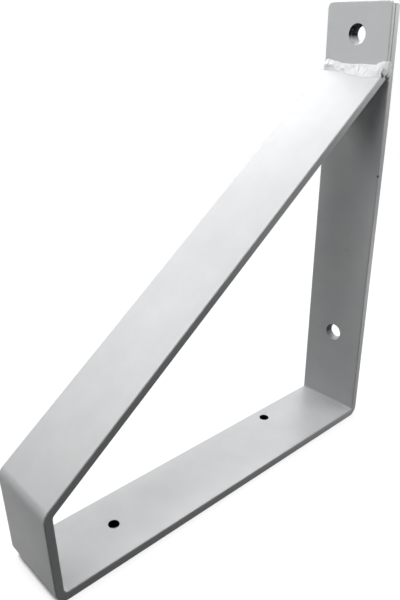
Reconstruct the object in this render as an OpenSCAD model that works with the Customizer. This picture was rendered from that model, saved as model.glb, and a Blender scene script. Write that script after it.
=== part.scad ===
// Shelf bracket folded from one flat bar: a wall leg, a shelf leg, a short front riser and a
// brace that runs back up to the wall leg. A plate doubles the top of the wall leg, the cut
// end of the brace stands against the plate's lower edge, and a weld bead joins them.
//
// +Z is up and +Y points into the wall. The wall touches the plane Y = 0, the bracket stands
// out towards -Y, and its width is centred on X = 0. The origin is on the wall face, midway
// between the two wall fixings.

/* [Flat bar] */
// Width of the bar, along X
bar_w = 50; // [44:1:60]
// Thickness of the bar
bar_t = 5.5; // [4.5:0.5:6.5]
// Radius rolled along the bar's long edges, and the plate's
edge_r = 0.8; // [0.4:0.1:1.2]

/* [Folded loop] */
// Height of the wall leg, from the underside of the shelf leg to its cut top end
leg_h = 306.5; // [280:0.5:360]
// Length of the shelf leg, from the wall face to the front of the riser at its foot
shelf_l = 276.5; // [220:0.5:320]
// Height of the front riser, from the underside to the corner where the brace begins
riser_h = 61.5; // [45:0.5:75]
// Lean of the front riser, outwards at its head, in degrees
riser_lean = 2.4; // [0:0.2:4]
// Inside radius of the bend between the wall leg and the shelf leg
rear_bend_r = 1; // [0.5:0.5:6]
// Inside radius of the bends at the foot and the head of the riser
front_bend_r = 3; // [1:0.5:8]
// How much the bar thins on every side where it is bent
bend_thin = 0.05; // [0.02:0.01:0.15]
// Radius of the two corners at the top end of the wall leg
leg_corner_r = 1.5; // [1:0.5:6]

/* [Top plate] */
// Thickness of the plate that doubles the wall leg
plate_t = 3.5; // [3:0.5:6]
// Height of the plate
plate_h = 45; // [36:0.5:60]
// How far the plate stands above the end of the wall leg
plate_proud = 1.5; // [0:0.5:4]
// Radius of the plate's two upper corners
plate_corner_r = 4; // [2:0.5:10]
// Height at which the brace's upper face meets the plate, above the plate's lower edge
brace_lap = 4.5; // [3:0.5:6]
// Gap between the brace's cut end and the plane of the plate's front, at its nearest corner
root_gap = 0.5; // [0.3:0.1:1.5]

/* [Fixing holes] */
// Diameter of the two wall fixing holes
wall_hole_d = 13; // [9:0.5:16]
// Distance of the upper wall hole below the top end of the leg
top_hole_drop = 18.5; // [12:0.5:24]
// Height of the lower wall hole above the underside of the shelf leg
low_hole_h = 66.5; // [40:0.5:90]
// Diameter of the two screw holes in the shelf leg
shelf_hole_d = 7; // [4:0.5:9]
// Distance of the rear screw hole from the wall face
rear_hole_inset = 67; // [40:0.5:90]
// Distance of the rear screw hole from the middle of the bar, to the left
rear_hole_offset = 15.5; // [0:0.5:16]
// Distance of the front screw hole from the foot of the riser
front_hole_inset = 54.5; // [30:0.5:80]

/* [Weld] */
// Number of ripples along the front of the bead
ripples = 13; // [8:1:20]
// Radius of a ripple's crown
ripple_r = 5.5; // [4.5:0.5:7]
// How far the crowns are centred behind the corner that the bead fills
ripple_sink = 2; // [1:0.5:3]
// Number of lumps where the bead turns the corner on to the leg's side
wrap_lumps = 4; // [3:1:6]
// Radius of those lumps
wrap_r = 3.5; // [3:0.5:5]
// How far the bead stands out from the side of the bar
wrap_proud = 1.4; // [0.8:0.2:2]

/* [Hidden] */
$fn = 64;

paint = [0.76, 0.77, 0.78];
weld_paint = [0.82, 0.83, 0.84];

// How far cutters reach past what they cut
over = 10;

// How far the metal of a bend is drawn on into the runs beside it, in degrees
bend_lap = 2;

// Outer corners of the loop, as distance out from the wall and height above the underside
foot = [shelf_l, 0];
head = [shelf_l + riser_h * tan(riser_lean), riser_h];
plate_front = bar_t + plate_t;
plate_top_h = leg_h + plate_proud;
plate_low_h = plate_top_h - plate_h;
weld_root = [plate_front, plate_low_h + brace_lap];

// Rise of the brace above the horizontal, in degrees
brace_rise = atan2(weld_root[1] - head[1], head[0] - weld_root[0]);

// The bends, in the order in which the bar is folded, and how far each one reaches back
// from its outer corner along the runs beside it
turns = [90, 90 - riser_lean, 90 + riser_lean - brace_rise];
radii = [rear_bend_r, front_bend_r, front_bend_r];
reach = [for (i = [0:2]) (radii[i] + bar_t) * tan(turns[i] / 2)];

// The brace ends in a square cut whose inner corner comes nearest to the plate
brace_l = (head[0] - plate_front - root_gap - bar_t * sin(brace_rise)) / cos(brace_rise);

// Straight runs between the bends: wall leg, shelf leg, riser and brace
runs = [
    leg_h - reach[0],
    shelf_l - reach[0] - reach[1],
    norm(head - foot) - reach[1] - reach[2],
    brace_l - reach[2]
];

// Corners of the brace's cut end, and the height at which the weld's root closes
end_outer = head + brace_l * [-cos(brace_rise), sin(brace_rise)];
end_inner = end_outer - bar_t * [sin(brace_rise), cos(brace_rise)];
root_h = max(plate_low_h, end_inner[1]);

// Heights of the wall holes, and of the origin between them
top_hole_h = leg_h - top_hole_drop;
origin_h = (top_hole_h + low_hole_h) / 2;

// Section of a flat bar: thickness from 0 to t along Y, width centred along X, corners rounded
module bar_section(w, t) {
    translate([-w / 2, edge_r])
        square([w, t - 2 * edge_r]);
    translate([edge_r - w / 2, 0])
        square([w - 2 * edge_r, t]);
    for (x = [edge_r - w / 2, w / 2 - edge_r], y = [edge_r, t - edge_r])
        translate([x, y])
            circle(r = edge_r);
}

// One bend of the bar, which starts at the origin along +Z and turns towards +Y. It is a
// little thinner than the runs, and its two ends lie inside them.
module bar_bend(inside_r, turn) {
    translate([0, inside_r + bar_t, 0])
        rotate([90, 0, -90])
            rotate_extrude(angle = turn + 2 * bend_lap, start = -bend_lap)
                translate([inside_r + bend_thin, 0])
                    rotate(-90)
                        mirror([1, 0])
                            bar_section(bar_w - 2 * bend_thin, bar_t - 2 * bend_thin);
}

// The bar from run i to its cut end: a straight run, then a bend that carries the rest
module folded_bar(i = 0) {
    linear_extrude(runs[i])
        bar_section(bar_w, bar_t);
    if (i < len(turns))
        translate([0, 0, runs[i]]) {
            bar_bend(radii[i], turns[i]);
            translate([0, radii[i] + bar_t, 0])
                rotate([-turns[i], 0, 0])
                    translate([0, -radii[i] - bar_t, 0])
                        folded_bar(i + 1);
        }
}

// Puts what is drawn from the underside of the shelf leg upwards into the part's frame
module from_underside() {
    translate([0, 0, -origin_h])
        children();
}

// Extrudes an outline of [distance out from the wall, height] across the bar's width
module across(x0, x1) {
    translate([x0, 0, 0])
        rotate([90, 0, -90])
            mirror([0, 0, 1])
                linear_extrude(x1 - x0)
                    children();
}

// Upright outline of a leg's end or a plate: square below, two round corners above
module round_topped(w, h, r) {
    translate([-w / 2, 0])
        square([w, h - r]);
    translate([r - w / 2, 0])
        square([w - 2 * r, h]);
    for (x = [r - w / 2, w / 2 - r])
        translate([x, h - r])
            circle(r = r);
}

// Stands an outline upright in X and Z, from y0 out to y1
module upright(y0, y1) {
    translate([0, y1, 0])
        rotate([90, 0, 0])
            linear_extrude(y1 - y0)
                children();
}

// A drill through the wall leg and the plate
module wall_drill(h) {
    translate([0, 0, h])
        upright(-plate_front - over, over)
            circle(d = wall_hole_d);
}

// A drill through the shelf leg
module shelf_drill(x, y) {
    translate([x, y, -over])
        cylinder(d = shelf_hole_d, h = bar_t + 2 * over);
}

// The folded bar stood up on its shelf leg, before drilling
module bar_blank() {
    translate([0, 0, leg_h])
        rotate([180, 0, 0])
            folded_bar();
}

// The doubling plate, a length of rounded bar with its upper corners rounded off
module plate_blank() {
    translate([0, -plate_front, plate_low_h])
        intersection() {
            linear_extrude(plate_h)
                bar_section(bar_w, plate_t);
            upright(-over, plate_t + over)
                round_topped(bar_w, plate_h, plate_corner_r);
        }
}

// What is cut off the two upper corners of the wall leg
module leg_corners() {
    difference() {
        translate([-bar_w / 2 - over, -bar_t - plate_t / 2, leg_h - leg_corner_r])
            cube([bar_w + 2 * over, bar_t + plate_t / 2 + over, leg_corner_r + over]);
        upright(-bar_t - over, 2 * over)
            round_topped(bar_w, leg_h, leg_corner_r);
    }
}

module bent_strip() {
    color(paint)
        from_underside()
            difference() {
                bar_blank();
                leg_corners();
                wall_drill(top_hole_h);
                wall_drill(low_hole_h);
                shelf_drill(-rear_hole_offset, -rear_hole_inset);
                shelf_drill(0, front_hole_inset - shelf_l);
            }
}

module top_plate() {
    color(paint)
        from_underside()
            difference() {
                plate_blank();
                wall_drill(top_hole_h);
            }
}

// The crowns of the bead, side by side along the corner between plate and brace
module ripple_row() {
    half_valley = (90 + brace_rise) / 2;
    centre = weld_root - ripple_sink * [sin(half_valley), cos(half_valley)];
    inset = ripple_r / 2;
    pitch = (bar_w - 2 * inset) / (ripples - 1);
    for (i = [0:ripples - 1])
        translate([inset - bar_w / 2 + i * pitch, -centre[0], centre[1]])
            sphere(r = ripple_r);
}

// The lumps that turn the corner, from the brace's end back to the side of the leg
module wrap_row() {
    start = [plate_front + wrap_r / 2, weld_root[1] - wrap_r / 2];
    stop = [bar_t - edge_r, plate_low_h + wrap_r];
    for (i = [1:wrap_lumps]) {
        at = start + (stop - start) * (i - 1) / (wrap_lumps - 1);
        translate([bar_w / 2 + wrap_proud - wrap_r, -at[0], at[1]])
            sphere(r = wrap_r);
    }
}

// Where weld metal can lie: above the root and outside the plate and the brace
module weld_room() {
    across(-bar_w / 2, bar_w / 2)
        polygon([
            [plate_front - edge_r, root_h],
            [end_outer[0], root_h],
            end_outer - over * [-cos(brace_rise), sin(brace_rise)] - [0, edge_r],
            weld_root + [2 * over, over],
            [plate_front - edge_r, weld_root[1] + over]
        ]);
}

module weld_bead() {
    color(weld_paint)
        from_underside()
            difference() {
                union() {
                    intersection() {
                        ripple_row();
                        weld_room();
                    }
                    intersection() {
                        wrap_row();
                        translate([bar_w / 2 - edge_r, -plate_front - over, root_h])
                            cube([over, plate_front + over - edge_r, over]);
                    }
                }
                bar_blank();
                plate_blank();
            }
}

bent_strip();
top_plate();
weld_bead();
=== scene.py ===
import math

import bmesh
import bpy
from mathutils import Matrix, Vector, noise


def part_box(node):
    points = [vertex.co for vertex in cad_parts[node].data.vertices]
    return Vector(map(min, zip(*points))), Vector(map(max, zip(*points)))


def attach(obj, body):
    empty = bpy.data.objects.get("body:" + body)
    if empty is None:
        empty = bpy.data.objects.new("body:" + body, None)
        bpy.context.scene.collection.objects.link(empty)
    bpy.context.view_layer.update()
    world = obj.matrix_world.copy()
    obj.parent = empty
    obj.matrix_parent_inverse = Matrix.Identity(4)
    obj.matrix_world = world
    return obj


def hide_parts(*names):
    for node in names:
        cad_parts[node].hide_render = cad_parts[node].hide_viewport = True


# A painted shelf bracket: one flat bar folded into a closed loop, a plate that doubles the top of
# its wall leg, and the weld bead that joins the bar's cut end to them.
#
# All lengths are in millimetres until a mesh is made. A side-view point is (out, up): the distance
# out from the wall and the height above the underside of the shelf leg.

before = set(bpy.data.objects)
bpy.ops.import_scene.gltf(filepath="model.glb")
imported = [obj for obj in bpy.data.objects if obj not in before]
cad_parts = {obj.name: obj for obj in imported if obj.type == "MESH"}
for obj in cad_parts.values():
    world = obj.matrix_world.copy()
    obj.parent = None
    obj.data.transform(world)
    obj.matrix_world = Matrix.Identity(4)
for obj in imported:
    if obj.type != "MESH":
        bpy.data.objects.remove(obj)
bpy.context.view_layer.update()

MM = 0.001

# The bar's box gives its width, the heights of its two ends and its place over the wall fixings
bar_low, bar_high = (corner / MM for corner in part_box("bent_strip"))
plate_low, plate_high = (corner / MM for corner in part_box("top_plate"))
BAR_W = bar_high.x - bar_low.x
LEG_H = bar_high.z - bar_low.z
UNDERSIDE = bar_low.z

# The rest of the bar's shape, as in the part
BAR_T = 5.5
EDGE_R = 0.8
SHELF_L = 276.49
RISER_H = 61.5
RISER_LEAN = math.radians(2.4)
REAR_BEND_R = 1.0
FRONT_BEND_R = 3.0
LEG_CORNER_R = 1.5
END_EDGE_R = 0.5

# The plate
PLATE_FRONT = -plate_low.y
PLATE_TOP = plate_high.z - UNDERSIDE
PLATE_LOW = plate_low.z - UNDERSIDE
PLATE_CORNER_R = 4.0
BRACE_LAP = 4.5
ROOT_GAP = 0.5

# The holes: width, and places on the wall leg and on the shelf leg
WALL_HOLE_R = 6.5
TOP_HOLE_UP = 288.0
LOW_HOLE_UP = 66.5
SCREW_HOLE_R = 3.5
SCREW_HOLES = ((-15.5, 67.0), (0.0, 222.0))
RIM_R = 0.35
RIM_REACH = 2.0
RIM_STEPS = 4
# In the photograph the wall leg's holes look narrower at the wall: radius there, and the share of
# the leg's thickness over which they keep it
WALL_REAR_R = 5.3
STRAIGHT_PART = 0.4

# The top of the wall leg leans forwards: where the lean starts, how softly, and its angle
LEAN_FROM = 238.0
LEAN_BLEND = 24.0
TOP_LEAN = math.radians(1.7)

# How finely round forms are divided
EDGE_STEPS = 5
END_STEPS = 8
CORNER_STEPS = 12
BEND_STEPS = 28
HOLE_STEPS = 72
RUN_STEP = 6.0
# The bar's first plain ring lies past its rounded end by this factor
JUST_PAST = 1.01
# How strongly flat faces keep their own shading beside a rounded edge
FLAT_FACE_WEIGHT = 60


# The bar

def side_direction(angle):
    return Vector((math.cos(angle), math.sin(angle)))


def inward(direction):
    """The side-view normal on the left of a direction, which points into the loop."""
    return Vector((-direction.y, direction.x))


def loop_plan():
    """The outer corners of the loop, the directions of its four runs, and where its bar ends."""
    foot = Vector((SHELF_L, 0))
    head = Vector((SHELF_L + RISER_H * math.tan(RISER_LEAN), RISER_H))
    root = Vector((PLATE_FRONT, PLATE_LOW + BRACE_LAP))
    rise = math.atan2(root.y - head.y, head.x - root.x)
    brace_l = (head.x - PLATE_FRONT - ROOT_GAP - BAR_T * math.sin(rise)) / math.cos(rise)
    angles = [-math.pi / 2, 0, math.pi / 2 - RISER_LEAN, math.pi - rise]
    return [Vector((0, LEG_H)), Vector((0, 0)), foot, head], angles, brace_l, root


def loop_stations():
    """Places along the bar's outer face, as (point, direction angle), from the leg's top end."""
    corners, angles, brace_l, _ = loop_plan()
    radii = [REAR_BEND_R, FRONT_BEND_R, FRONT_BEND_R]
    stations = []
    start = corners[0]
    for i, angle in enumerate(angles):
        along = side_direction(angle)
        if i < 3:
            turn = angles[i + 1] - angle
            outer_r = radii[i] + BAR_T
            stop = corners[i + 1] - along * outer_r * math.tan(turn / 2)
        else:
            stop = corners[3] + along * brace_l
        length = (stop - start).length
        count = max(2, round(length / RUN_STEP))
        stations += [(start + along * length * k / count, angle) for k in range(count + 1)]
        if i < 3:
            centre = stop + inward(along) * outer_r
            for k in range(1, BEND_STEPS):
                a = angle + turn * k / BEND_STEPS
                stations.append((centre - inward(side_direction(a)) * outer_r, a))
            start = centre - inward(side_direction(angles[i + 1])) * outer_r
    return stations


def rounded_section(half_w, depth):
    """Points round a bar's section as (x, depth from the outer face), with rounded corners."""
    points = []
    for cx, cy, first in ((1, 1, 0), (-1, 1, 90), (-1, -1, 180), (1, -1, 270)):
        centre = (cx * (half_w - EDGE_R), depth / 2 + cy * (depth / 2 - EDGE_R))
        for k in range(EDGE_STEPS + 1):
            a = math.radians(first + 90 * k / EDGE_STEPS)
            points.append((centre[0] + EDGE_R * math.cos(a), centre[1] + EDGE_R * math.sin(a)))
    return points


def arc_inset(s, r):
    """How far a round edge of radius r lies inside its flats at a distance s from its end."""
    return 0 if s >= r else r - math.sqrt(max(r * r - (r - s) ** 2, 0))


def leaned(out, up):
    """Moves a side-view point with the wall leg's top, which leans forwards."""
    over = up - LEAN_FROM
    if over <= -LEAN_BLEND / 2:
        return out
    if over < LEAN_BLEND / 2:
        return out + math.tan(TOP_LEAN) * (over + LEAN_BLEND / 2) ** 2 / (2 * LEAN_BLEND)
    return out + math.tan(TOP_LEAN) * over


def in_frame(x, out, up):
    return Vector((x, -out, up + UNDERSIDE)) * MM


def skin(rings):
    """A closed mesh from rings of equal length, with its two ends filled."""
    bm = bmesh.new()
    made = [[bm.verts.new(p) for p in ring] for ring in rings]
    count = len(made[0])
    for a, b in zip(made, made[1:]):
        for k in range(count):
            bm.faces.new((a[k], a[(k + 1) % count], b[(k + 1) % count], b[k]))
    bm.faces.new(list(reversed(made[0])))
    bm.faces.new(made[-1])
    bmesh.ops.recalc_face_normals(bm, faces=bm.faces)
    return bm


def as_object(bm, name):
    mesh = bpy.data.meshes.new(name)
    bm.to_mesh(mesh)
    bm.free()
    piece = bpy.data.objects.new(name, mesh)
    bpy.context.scene.collection.objects.link(piece)
    return piece


def bar_piece():
    """The bar's skin, whose first rings round off the wall leg's top end."""
    stations = loop_stations()
    top, down = stations[0]
    quarter = [math.radians(90 * k / END_STEPS) for k in range(END_STEPS)]
    end_steps = [LEG_CORNER_R * (1 - math.cos(a)) for a in quarter]
    places = [(top - Vector((0, s)), down, s) for s in end_steps]
    past = LEG_CORNER_R * JUST_PAST
    places += [(p, a, LEG_CORNER_R) for p, a in stations if (p - top).length > past]
    rings = []
    for point, angle, s in places:
        side = arc_inset(s, LEG_CORNER_R)
        face = arc_inset(s, END_EDGE_R)
        normal = inward(side_direction(angle))
        on_wall_leg = angle == down
        ring = []
        for x, depth in rounded_section(BAR_W / 2 - side, BAR_T - 2 * face):
            p = point + normal * (depth + face)
            ring.append(in_frame(x, leaned(p.x, p.y) if on_wall_leg else p.x, p.y))
        rings.append(ring)
    return as_object(skin(rings), "folded_bar")


# The plate

def plate_outline(inset):
    """The plate's outline as (x, up), with round upper corners, drawn in by inset."""
    half_w = BAR_W / 2 - inset
    top = PLATE_TOP - inset
    low = PLATE_LOW + inset
    r = PLATE_CORNER_R - inset
    low_r = EDGE_R
    points = []
    for cx, cy, radius, first in (
        (half_w - r, top - r, r, 0),
        (r - half_w, top - r, r, 90),
        (low_r - half_w, low + low_r, low_r, 180),
        (half_w - low_r, low + low_r, low_r, 270),
    ):
        for k in range(CORNER_STEPS + 1):
            a = math.radians(first + 90 * k / CORNER_STEPS)
            points.append((cx + radius * math.cos(a), cy + radius * math.sin(a)))
    return points


def plate_piece():
    rings = []
    for back in (True, False):
        for k in range(EDGE_STEPS + 1):
            a = math.pi / 2 * k / EDGE_STEPS
            inset = EDGE_R * (1 - math.sin(a) if back else 1 - math.cos(a))
            into = EDGE_R * (1 - math.cos(a) if back else 1 - math.sin(a))
            out = BAR_T + into if back else PLATE_FRONT - into
            rings.append([in_frame(x, leaned(out, up), up) for x, up in plate_outline(inset)])
    return as_object(skin(rings), "doubling_plate")


# The holes

def turned(profile):
    """A solid of revolution about Z from (radius, height) points."""
    rings = []
    for r, z in profile:
        rings.append([
            Vector((r * math.cos(a), r * math.sin(a), z)) * MM
            for a in (2 * math.pi * k / HOLE_STEPS for k in range(HOLE_STEPS))
        ])
    return as_object(skin(rings), "cutter")


def hole_cutter(low_r, high_r, low, high):
    """A drill from low to high whose rims are rounded where it leaves the metal."""
    profile = [(low_r + RIM_R, low - RIM_REACH)]
    for k in range(RIM_STEPS + 1):
        a = math.pi / 2 * k / RIM_STEPS
        profile.append((low_r + RIM_R * (1 - math.sin(a)), low + RIM_R * (1 - math.cos(a))))
    if high_r > low_r:
        profile.append((low_r, low + (high - low) * STRAIGHT_PART))
    for k in range(RIM_STEPS + 1):
        a = math.pi / 2 * (1 - k / RIM_STEPS)
        profile.append((high_r + RIM_R * (1 - math.sin(a)), high - RIM_R * (1 - math.cos(a))))
    profile.append((high_r + RIM_R, high + RIM_REACH))
    return turned(profile)


def wall_cutter(up, low_r, from_out, to_out):
    """A drill through the wall leg or the plate, square to it where it leans."""
    cutter = hole_cutter(low_r, WALL_HOLE_R, from_out, to_out)
    slope = math.atan(leaned(0, up + 1) - leaned(0, up - 1)) / 2
    turn = Matrix.Rotation(math.radians(90) + slope, 4, "X")
    cutter.data.transform(Matrix.Translation(in_frame(0, leaned(0, up), up)) @ turn)
    return cutter


def screw_cutter(x, out):
    cutter = hole_cutter(SCREW_HOLE_R, SCREW_HOLE_R, 0, BAR_T)
    cutter.data.transform(Matrix.Translation(in_frame(x, out, 0)))
    return cutter


def bake(piece):
    """Applies a piece's modifiers."""
    graph = bpy.context.evaluated_depsgraph_get()
    made = bpy.data.meshes.new_from_object(piece.evaluated_get(graph))
    piece.modifiers.clear()
    old = piece.data
    piece.data = made
    bpy.data.meshes.remove(old)


def cut(piece, cutters):
    for cutter in cutters:
        hole = piece.modifiers.new("hole", "BOOLEAN")
        hole.operation = "DIFFERENCE"
        hole.solver = "EXACT"
        hole.object = cutter
        bake(piece)
        bpy.data.objects.remove(cutter)


def smooth(piece, angle):
    piece.data.shade_smooth()
    piece.data.set_sharp_from_angle(angle=math.radians(angle))
    weights = piece.modifiers.new("weights", "WEIGHTED_NORMAL")
    weights.keep_sharp = True
    weights.weight = FLAT_FACE_WEIGHT


# The weld

# Along the width: (x, height the weld reaches on the plate, length it covers on the brace)
WELD_EDGES = (
    (-25.0, 4.4, 4.2), (-22.7, 4.5, 4.6), (-15.0, 3.1, 5.2), (-9.0, 1.9, 5.8), (-2.0, 1.7, 7.4),
    (5.0, 2.1, 8.8), (13.5, 1.8, 10.4), (17.0, 1.9, 10.2), (18.6, 3.1, 9.8), (22.0, 4.1, 9.3),
    (26.4, 3.6, 8.0),
)
WELD_FROM, WELD_TO = -24.4, 26.25
WELD_STEP = 0.25
WELD_ROUND = 2.6
# The crown stands this high, and this much higher for each millimetre that the weld is wide
WELD_CROWN = 0.3
WELD_CROWN_SLOPE = 0.085
WELD_BURIED = 0.9
ARC_STEPS = 26
RIPPLE_PITCH = 2.5
RIPPLE_H = 0.38
RIPPLE_SWEEP = 0.9
RIPPLE_WANDER = 2.4
GRIT_H = 0.2
LUMP_H = 0.75
# Noise over the bead: how fast it runs along the width in mm, and across the bead, and its seed
WANDER = (0.3, 1.5, 3.0)
LUMPS = (1 / 3.8, 2.5, 7.0)
GRIT = (1 / 0.9, 9.0, 1.0)
# The section is fuller by the plate than by the brace, and its ripples reach nearly to its edges
SWELL_PLATE, SWELL_BRACE = 1.2, 0.7
RIPPLE_FILL = 1.2
# A ripple: where across the bead it lags least, how round it is, and how much of it is a valley
RIPPLE_TIP = 0.4
RIPPLE_ROUND = 0.8
RIPPLE_VALLEY = 0.6
# The share of the section that is left at the weld's two ends
END_SHARE = 0.3
# The metal that turned the corner, on the side: (out, up, half length, half height, crown, tilt)
SIDE_LUMPS = (
    (11.2, 266.2, 4.6, 3.6, 1.2, -37), (8.2, 268.4, 4.2, 3.3, 1.15, -10),
    (6.4, 265.2, 3.0, 3.6, 0.9, 20),
)
# Spatter: (x, out, up, radius)
SPATTER = ((25.0, 5.9, 259.8, 0.6), (25.0, 3.4, 262.6, 0.35))
LUMP_ROUGH = 0.16
SPATTER_ROUGH = 0.2
BALL_NOISE = 2.2
BALL_STEPS = 4


def between(x, row):
    """The value of one column of WELD_EDGES at x, eased from one place to the next."""
    for a, b in zip(WELD_EDGES, WELD_EDGES[1:]):
        if x <= b[0]:
            f = min(max((x - a[0]) / (b[0] - a[0]), 0), 1)
            f = f * f * (3 - 2 * f)
            return a[row] + (b[row] - a[row]) * f
    return WELD_EDGES[-1][row]


def weld_noise(x, f, numbers):
    along, across, seed = numbers
    return noise.noise(Vector((x * along, f * across, seed)))


def weld_ring(x):
    """The weld's section at x: a crown with swept ripples, closed inside the metal."""
    _, angles, _, root = loop_plan()
    down = -side_direction(angles[3])
    shifted = leaned(root.x, root.y) - root.x
    corner = root + down * shifted / down.x
    height_on_plate = root.y + between(x, 1)
    start = Vector((leaned(root.x, height_on_plate), height_on_plate))
    stop = root + down * between(x, 2)
    chord = stop - start
    outward = Vector((-chord.y, chord.x)).normalized()
    round_off = 1
    for from_end in (x - WELD_FROM, WELD_TO - x):
        round_off *= 1 - arc_inset(max(from_end, 0) / WELD_ROUND, 1)
    crown = WELD_CROWN + WELD_CROWN_SLOPE * chord.length
    ring = []
    for k in range(ARC_STEPS + 1):
        f = k / ARC_STEPS
        swell = math.sin(math.pi * f) * (SWELL_PLATE + (SWELL_BRACE - SWELL_PLATE) * f)
        swept = RIPPLE_SWEEP * 4 * (f - RIPPLE_TIP) ** 2
        phase = (x + swept + RIPPLE_WANDER * weld_noise(x, f, WANDER)) / RIPPLE_PITCH
        ripple = abs(math.sin(math.pi * phase)) ** RIPPLE_ROUND - RIPPLE_VALLEY
        fine = RIPPLE_H * ripple + GRIT_H * weld_noise(x, f, GRIT)
        height = swell * (crown + LUMP_H * weld_noise(x, f, LUMPS))
        height += min(swell * RIPPLE_FILL, 1) * fine
        p = start + chord * f + outward * height
        p = corner + (p - corner) * (END_SHARE + (1 - END_SHARE) * round_off)
        ring.append(in_frame(x, p.x, p.y))
    into_brace = stop + Vector((down.y, -down.x)) * WELD_BURIED
    into_corner = corner - Vector((WELD_BURIED, WELD_BURIED))
    into_plate = start - Vector((WELD_BURIED, 0))
    ring += [in_frame(x, p.x, p.y) for p in (into_brace, into_corner, into_plate)]
    return ring


def ball(bm, centre, radii, turn, rough):
    """An ellipsoid with an uneven skin, turned about X."""
    made = bmesh.ops.create_icosphere(bm, subdivisions=BALL_STEPS, radius=1)["verts"]
    spin = Matrix.Rotation(math.radians(turn), 3, "X")
    for v in made:
        bump = 1 + rough * noise.noise(v.co * BALL_NOISE + centre)
        v.co = (spin @ Vector([c * r for c, r in zip(v.co * bump, radii)]) + centre) * MM


def weld_piece():
    count = round((WELD_TO - WELD_FROM) / WELD_STEP)
    bm = skin([weld_ring(WELD_FROM + (WELD_TO - WELD_FROM) * k / count) for k in range(count + 1)])
    for out, up, half_l, half_h, crown, tilt in SIDE_LUMPS:
        centre = Vector((BAR_W / 2, -leaned(out, up), up + UNDERSIDE))
        ball(bm, centre, (crown, half_l, half_h), -tilt, LUMP_ROUGH)
    for x, out, up, r in SPATTER:
        centre = Vector((x, -leaned(out, up), up + UNDERSIDE))
        ball(bm, centre, (r, r, r), 0, SPATTER_ROUGH)
    return as_object(bm, "weld_crown")


bar = bar_piece()
plate = plate_piece()
weld = weld_piece()
cut(bar, [wall_cutter(up, WALL_REAR_R, 0, BAR_T) for up in (TOP_HOLE_UP, LOW_HOLE_UP)]
    + [screw_cutter(x, out) for x, out in SCREW_HOLES])
cut(plate, [wall_cutter(TOP_HOLE_UP, WALL_HOLE_R, BAR_T, PLATE_FRONT)])


# Paint

# Shade is painted on the upper walls of the wall holes, growing from none to full between these
# heights above the hole's middle, in mm
BORE_LIT, BORE_DARK = -4.5, -0.5
# The near-black grey of the painted shade in the holes
BORE_SHADE_GREY = (0.012, 0.012, 0.013)
# How dark the painted shade gets in the upper and the lower one, from 0 to 1
TOP_BORE_SHADE, LOW_BORE_SHADE = 1.0, 0.8
# Chips in the paint: (x, out, up, radius, how dark)
CHIPS = ((24.8, 5.3, 196.0, 1.3, 0.9), (5.0, 5.5, 137.0, 0.7, 0.5), (-19.0, 61.0, 5.5, 0.9, 0.35))
CHIP_GREY = (0.08, 0.08, 0.085)
SPECK_GREY = (0.3, 0.3, 0.31)
SPECK_DEPTH = 0.4
PAINT_SPECULAR = 0.32
ROUGHNESS_SPREAD = 0.05
# Patterns over the paint: scale, detail and roughness of the noise, and where it fades in and ends
MOTTLE = (38, 5, 0.6, 0.36, 0.66)
SPECKS = (900, 2, 0.5, 0.735, 0.78)
RUBBED = (24, 4, 0.6, 0.3, 0.7)
# Streaks, as of drill marks, break up the painted shade in the wall holes
STREAKS = (1, 4, 0.6, 0.42, 0.62)
STREAK_STRETCH = (900, 60, 900)
STREAK_DEPTH = 0.92
# The orange peel: scale, detail and roughness of its noise, and its height in metres
FINE_PEEL = (1500, 2, 0.5), 0.000012
WAVY_PEEL = (170, 3, 0.5), 0.00016
# How far the painted shade of a hole fades out past its wall, and past its ends, in mm
BORE_EDGE = (0.05, 0.15)
BORE_END = 0.3


class Paint:
    """A satin grey paint whose colour, gloss and surface vary a little from place to place."""

    def __init__(self, name):
        self.material = bpy.data.materials.new(name)
        self.material.use_nodes = True
        self.tree = self.material.node_tree
        self.shader = self.tree.nodes["Principled BSDF"]
        where = self.tree.nodes.new("ShaderNodeTexCoord")
        self.where = where.outputs["Object"]

    def noise(self, scale, detail, rough, stretch=None):
        place = self.where
        if stretch:
            bent = self.tree.nodes.new("ShaderNodeMapping")
            bent.inputs["Scale"].default_value = stretch
            self.tree.links.new(place, bent.inputs["Vector"])
            place = bent.outputs["Vector"]
        made = self.tree.nodes.new("ShaderNodeTexNoise")
        made.inputs["Scale"].default_value = scale
        made.inputs["Detail"].default_value = detail
        made.inputs["Roughness"].default_value = rough
        self.tree.links.new(place, made.inputs["Vector"])
        return made.outputs["Fac"]

    def spread(self, value, low, high, to_low, to_high):
        made = self.tree.nodes.new("ShaderNodeMapRange")
        numbers = {"From Min": low, "From Max": high, "To Min": to_low, "To Max": to_high}
        for name, number in numbers.items():
            made.inputs[name].default_value = number
        self.tree.links.new(value, made.inputs["Value"])
        return made.outputs["Result"]

    def pattern(self, numbers, to_low, to_high, stretch=None):
        scale, detail, rough, low, high = numbers
        return self.spread(self.noise(scale, detail, rough, stretch), low, high, to_low, to_high)

    def joined(self, operation, a, b):
        made = self.tree.nodes.new("ShaderNodeMath")
        made.operation = operation
        self.tree.links.new(a, made.inputs[0])
        self.tree.links.new(b, made.inputs[1])
        return made.outputs[0]

    def mixed(self, factor, a, b):
        made = self.tree.nodes.new("ShaderNodeMix")
        made.data_type = "RGBA"
        for socket, colour in (("A", a), ("B", b)):
            if isinstance(colour, tuple):
                made.inputs[socket].default_value = colour + (1,)
            else:
                self.tree.links.new(colour, made.inputs[socket])
        self.tree.links.new(factor, made.inputs["Factor"])
        return made.outputs["Result"]

    def bumped(self, value, strength, distance, normal=None):
        made = self.tree.nodes.new("ShaderNodeBump")
        made.inputs["Strength"].default_value = strength
        made.inputs["Distance"].default_value = distance
        self.tree.links.new(value, made.inputs["Height"])
        if normal:
            self.tree.links.new(normal, made.inputs["Normal"])
        return made.outputs["Normal"]


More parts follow.
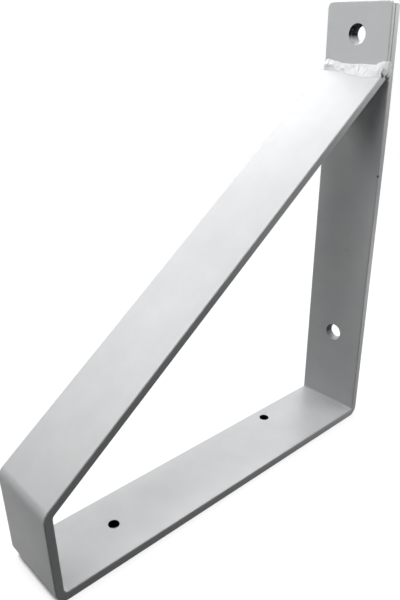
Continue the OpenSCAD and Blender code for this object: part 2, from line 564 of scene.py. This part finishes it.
def near_axis(paint, centre, flatten, reach, radius):
    """1 within radius of an axis through centre and within reach of centre along it."""
    tree = paint.tree
    place = tree.nodes.new("ShaderNodeVectorMath")
    place.operation = "SUBTRACT"
    place.inputs[1].default_value = centre
    tree.links.new(paint.where, place.inputs[0])
    lengths = []
    for factors in (flatten, [1 - c for c in flatten]):
        flat = tree.nodes.new("ShaderNodeVectorMath")
        flat.operation = "MULTIPLY"
        flat.inputs[1].default_value = factors
        tree.links.new(place.outputs[0], flat.inputs[0])
        away = tree.nodes.new("ShaderNodeVectorMath")
        away.operation = "LENGTH"
        tree.links.new(flat.outputs[0], away.inputs[0])
        lengths.append(away.outputs["Value"])
    inner, outer = (radius + past for past in BORE_EDGE)
    across = paint.spread(lengths[0], inner * MM, outer * MM, 1, 0)
    along = paint.spread(lengths[1], reach * MM, (reach + BORE_END) * MM, 1, 0)
    return paint.joined("MULTIPLY", across, along)


def painted_bore_shade(paint):
    """1 where shade is painted on the walls of the holes: the upper part of the wall leg's,
    streaked there, and all of the screw holes'; 0 elsewhere.
    """
    parts = paint.tree.nodes.new("ShaderNodeSeparateXYZ")
    paint.tree.links.new(paint.where, parts.inputs[0])
    streaked = paint.pattern(STREAKS, 1, STREAK_DEPTH, STREAK_STRETCH)
    total = None
    for up, darkest in ((TOP_HOLE_UP, TOP_BORE_SHADE), (LOW_HOLE_UP, LOW_BORE_SHADE)):
        middle = in_frame(0, leaned(0, up), up)
        inside = near_axis(paint, middle, (1, 0, 1), PLATE_FRONT + 1, WALL_HOLE_R)
        lit, dark = middle.z + BORE_LIT * MM, middle.z + BORE_DARK * MM
        high = paint.spread(parts.outputs["Z"], lit, dark, 0, darkest)
        shade = paint.joined("MULTIPLY", paint.joined("MULTIPLY", inside, high), streaked)
        total = paint.joined("MAXIMUM", total, shade) if total else shade
    for x, out in SCREW_HOLES:
        reach, radius = BAR_T - RIM_R, SCREW_HOLE_R + RIM_R / 2
        inside = near_axis(paint, in_frame(x, out, 0), (1, 1, 0), reach, radius)
        total = paint.joined("MAXIMUM", total, inside)
    return total


def chip_shade(paint):
    """1 on the small chips in the paint, and 0 elsewhere."""
    total = None
    for x, out, up, radius, depth in CHIPS:
        place = paint.tree.nodes.new("ShaderNodeVectorMath")
        place.operation = "DISTANCE"
        place.inputs[1].default_value = in_frame(x, out, up)
        paint.tree.links.new(paint.where, place.inputs[0])
        mark = paint.spread(place.outputs["Value"], radius * 0.5 * MM, radius * MM, depth, 0)
        total = paint.joined("MAXIMUM", total, mark) if total else mark
    return total


def paint_material(name, pale, dark, roughness, peel):
    """Paint mottled between two greys, with specks, chips, painted shade in the bores and a fine
    orange peel.
    """
    paint = Paint(name)
    shader = paint.shader
    bore = painted_bore_shade(paint)
    colour = paint.mixed(paint.pattern(MOTTLE, 0, 1), pale, dark)
    colour = paint.mixed(paint.pattern(SPECKS, 0, SPECK_DEPTH), colour, SPECK_GREY)
    # Painted shade: the walls of the holes darken towards a near-black grey
    colour = paint.mixed(bore, colour, BORE_SHADE_GREY)
    colour = paint.mixed(chip_shade(paint), colour, CHIP_GREY)
    paint.tree.links.new(colour, shader.inputs["Base Color"])
    # The painted shade also takes the paint's sheen off the walls of the holes
    gloss = paint.spread(bore, 0, 1, PAINT_SPECULAR, 0)
    paint.tree.links.new(gloss, shader.inputs["Specular IOR Level"])
    rubbed = paint.pattern(RUBBED, roughness - ROUGHNESS_SPREAD, roughness + ROUGHNESS_SPREAD)
    paint.tree.links.new(rubbed, shader.inputs["Roughness"])
    normal = None
    for numbers, height in (FINE_PEEL, WAVY_PEEL):
        normal = paint.bumped(paint.noise(*numbers), peel, height, normal)
    paint.tree.links.new(normal, shader.inputs["Normal"])
    return paint.material


bar_paint = paint_material("bar_paint", (0.57, 0.575, 0.58), (0.53, 0.54, 0.55), 0.38, 0.22)
# The weld's paint is a paler copy of the bar's: painted light on the bead, which has the same
# paint as the bar
weld_paint = paint_material("weld_paint", (0.72, 0.725, 0.73), (0.64, 0.65, 0.66), 0.3, 0.4)

# Each piece, its node, slot and paint, and the angle above which its edges are sharp
for piece, node, slot, material, sharp in (
    (bar, "bent_strip", "paint", bar_paint, 35),
    (plate, "top_plate", "paint", bar_paint, 35),
    (weld, "weld_bead", "weld_paint", weld_paint, 180),
):
    piece.data.materials.clear()
    piece.data.materials.append(material)
    smooth(piece, sharp)
    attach(piece, "root")
    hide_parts(node)


# Camera: the photograph's frame, and the fitted view in it
PHOTO_W, PHOTO_H = 400, 600
SENSOR = 36.0
NEAREST = 0.01
CAMERA_AT = Vector((0.25788, -0.38568, 0.28648 + UNDERSIDE * MM))
CAMERA_YAW = math.radians(46.496)
CAMERA_PITCH = math.radians(22.321)
CAMERA_ROLL = math.radians(0.668)
FOCAL_PX = 619.9
CENTRE_PX = (210.98, 288.71)


def camera():
    data = bpy.data.cameras.new("camera")
    data.sensor_width = SENSOR
    data.lens = FOCAL_PX / PHOTO_H * SENSOR
    data.shift_x = (PHOTO_W / 2 - CENTRE_PX[0] - 0.5) / PHOTO_H
    data.shift_y = (CENTRE_PX[1] + 0.5 - PHOTO_H / 2) / PHOTO_H
    data.clip_start = NEAREST
    right = Vector((math.cos(CAMERA_YAW), math.sin(CAMERA_YAW), 0))
    level = Vector((-right.y, right.x, 0))
    ahead = level * math.cos(CAMERA_PITCH) - Vector((0, 0, math.sin(CAMERA_PITCH)))
    up = right.cross(ahead)
    c, s = math.cos(CAMERA_ROLL), math.sin(CAMERA_ROLL)
    right, up = right * c + up * s, up * c - right * s
    seen = bpy.data.objects.new("camera", data)
    facing = Matrix((right, up, -ahead)).transposed().to_4x4()
    seen.matrix_world = Matrix.Translation(CAMERA_AT) @ facing
    bpy.context.scene.collection.objects.link(seen)
    bpy.context.scene.camera = seen


camera()


# Floor and backdrop, white to the camera and in reflections. To other light the floor is dark and
# the backdrop gives none, so that faces turned down or aside stay as dark as in the photograph.

FLOOR_HALF = 6.0
FLOOR_DROP = 0.1
# What the floor gives back to the bracket, and how much of its white the lamps make
FLOOR_BOUNCE = 0.06
FLOOR_SHARE = 0.2
# The rest is a glow, weaker near the bracket, between these distances in metres
NEAR_GLOW = 0.86
GLOW_FROM, GLOW_TO = 0.55, 1.6
# Painted shade under the bracket: the floor stops glowing where the bracket covers it, as under
# the screw holes
COVER_REACH = 0.03
COVERED, UNCOVERED = 0.34, 0.48


def seen_directly(tree):
    """1 for camera, glossy and transmission rays, and 0 for the rest."""
    path = tree.nodes.new("ShaderNodeLightPath")
    total = path.outputs["Is Camera Ray"]
    for name in ("Is Glossy Ray", "Is Transmission Ray"):
        both = tree.nodes.new("ShaderNodeMath")
        both.operation = "MAXIMUM"
        tree.links.new(total, both.inputs[0])
        tree.links.new(path.outputs[name], both.inputs[1])
        total = both.outputs[0]
    return total


def floor_material():
    material = bpy.data.materials.new("floor")
    material.use_nodes = True
    tree = material.node_tree
    nodes, links = tree.nodes, tree.links
    nodes.clear()
    direct = seen_directly(tree)
    where = nodes.new("ShaderNodeTexCoord")
    far = nodes.new("ShaderNodeVectorMath")
    far.operation = "LENGTH"
    links.new(where.outputs["Object"], far.inputs[0])
    glow = nodes.new("ShaderNodeMapRange")
    glow.inputs["From Min"].default_value = GLOW_FROM
    glow.inputs["From Max"].default_value = GLOW_TO
    glow.inputs["To Min"].default_value = NEAR_GLOW
    glow.inputs["To Max"].default_value = 1.0
    links.new(far.outputs["Value"], glow.inputs["Value"])
    # Painted shade: ambient occlusion takes the glow away where the bracket covers the floor
    open_sky = nodes.new("ShaderNodeAmbientOcclusion")
    open_sky.inputs["Distance"].default_value = COVER_REACH
    uncovered = nodes.new("ShaderNodeMapRange")
    uncovered.inputs["From Min"].default_value = COVERED
    uncovered.inputs["From Max"].default_value = UNCOVERED
    links.new(open_sky.outputs["AO"], uncovered.inputs["Value"])
    shown = nodes.new("ShaderNodeMath")
    shown.operation = "MULTIPLY"
    links.new(uncovered.outputs["Result"], shown.inputs[0])
    links.new(direct, shown.inputs[1])
    strength = nodes.new("ShaderNodeMath")
    strength.operation = "MULTIPLY"
    links.new(glow.outputs["Result"], strength.inputs[0])
    links.new(shown.outputs[0], strength.inputs[1])
    shine = nodes.new("ShaderNodeEmission")
    links.new(strength.outputs[0], shine.inputs["Strength"])
    pale = nodes.new("ShaderNodeMix")
    pale.data_type = "RGBA"
    pale.inputs["A"].default_value = (FLOOR_BOUNCE,) * 3 + (1,)
    pale.inputs["B"].default_value = (FLOOR_SHARE,) * 3 + (1,)
    links.new(direct, pale.inputs["Factor"])
    matt = nodes.new("ShaderNodeBsdfDiffuse")
    links.new(pale.outputs["Result"], matt.inputs["Color"])
    both = nodes.new("ShaderNodeAddShader")
    links.new(shine.outputs[0], both.inputs[0])
    links.new(matt.outputs[0], both.inputs[1])
    out = nodes.new("ShaderNodeOutputMaterial")
    links.new(both.outputs[0], out.inputs["Surface"])
    return material


def floor():
    mesh = bpy.data.meshes.new("floor")
    s = FLOOR_HALF
    mesh.from_pydata([(-s, -s, 0), (s, -s, 0), (s, s, 0), (-s, s, 0)], [], [(0, 1, 2, 3)])
    mesh.materials.append(floor_material())
    made = bpy.data.objects.new("floor", mesh)
    made.location = (0, -SHELF_L * MM / 2, (UNDERSIDE - FLOOR_DROP) * MM)
    bpy.context.scene.collection.objects.link(made)


def backdrop():
    world = bpy.data.worlds.new("backdrop")
    bpy.context.scene.world = world
    world.use_nodes = True
    tree = world.node_tree
    behind = tree.nodes["Background"]
    behind.inputs["Color"].default_value = (1, 1, 1, 1)
    tree.links.new(seen_directly(tree), behind.inputs["Strength"])


# Soft round lamps about the middle of the bracket: (azimuth, elevation, distance, width, watts)
MIDDLE = Vector((0, -0.13, -0.02))
ROUND_LAMPS = (
    (350, 60, 0.6, 0.3, 0.55),
    (20, 60, 0.6, 0.3, 0.95),
    (300, 38, 1.1, 0.5, 3.9),
    (270, 62, 1.1, 0.5, 0.58),
    (270, 38, 0.9, 0.45, 1.1),
    (240, 60, 0.6, 0.3, 0.39),
    (240, 40, 0.6, 0.3, 1.15),
    (210, 38, 1.1, 0.5, 4.4),
)
# Lamps aimed at one place: (place, aim, width, watts)
AIMED_LAMPS = (
    ((0, -0.25, 0.45), (0, -0.05, 0.1), 0.2, 0.47),
    ((0, -0.4, 0.4), (0, -0.05, 0.1), 0.2, 0.3),
    ((0.13, 0.09, 0.14), (0.025, -0.01, 0.12), 0.12, 0.17),
    ((0.13, 0.1, -0.1), (0.025, 0, -0.1), 0.12, 0.085),
)


def lamp(place, aim, width, watts):
    data = bpy.data.lights.new("lamp", "AREA")
    data.shape = "DISK"
    data.size = width
    data.energy = watts
    made = bpy.data.objects.new("lamp", data)
    facing = (place - aim).to_track_quat("Z", "Y").to_matrix().to_4x4()
    made.matrix_world = Matrix.Translation(place) @ facing
    made.visible_camera = False
    bpy.context.scene.collection.objects.link(made)


def lamps():
    for azimuth, elevation, away, width, watts in ROUND_LAMPS:
        a, e = math.radians(azimuth), math.radians(elevation)
        back = Vector((math.sin(a) * math.cos(e), -math.cos(a) * math.cos(e), math.sin(e)))
        lamp(MIDDLE + back * away, MIDDLE, width, watts)
    for place, aim, width, watts in AIMED_LAMPS:
        lamp(Vector(place), Vector(aim), width, watts)


floor()
backdrop()
lamps()

bpy.context.scene.view_settings.view_transform = "Standard"
